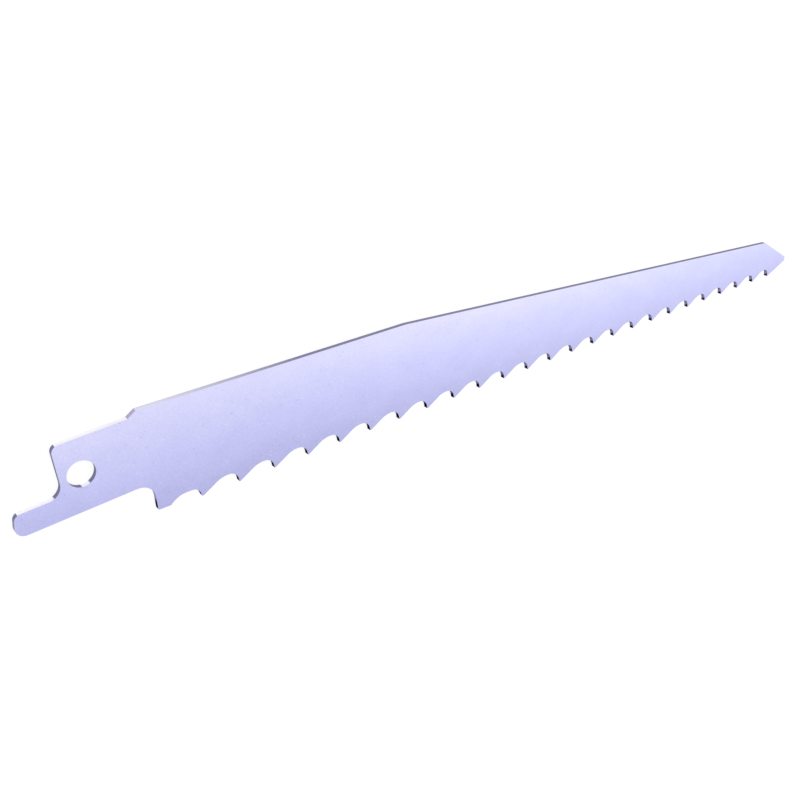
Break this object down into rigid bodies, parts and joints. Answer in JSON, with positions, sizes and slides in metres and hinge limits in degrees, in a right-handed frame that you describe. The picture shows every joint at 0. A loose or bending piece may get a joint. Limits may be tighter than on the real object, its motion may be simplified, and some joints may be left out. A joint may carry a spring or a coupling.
{
  "type": "reciprocating saw blade",
  "caption": "Flat tapering steel saw blade with hook-shaped gullets, a blunt heel tooth, a pointed nose and a notched flat shank with a round pin hole.",
  "frame": {"origin": "on the axis of the shank's pin hole, in the blade's underside", "axes": "+X along the shank towards the nose, +Y towards the spine, away from the teeth, and +Z square to the flat faces, out of the upper face"},
  "size_m": [0.2, 0.0283, 0.0009],
  "materials": {
    "blade_steel": "finely ground and satin, with a pale lavender cast on the flat faces and darker stamped and ground edges"
  },
  "bodies": {
    "root": {"saw_blade": "blade_steel"}
  },
  "joints": []
}
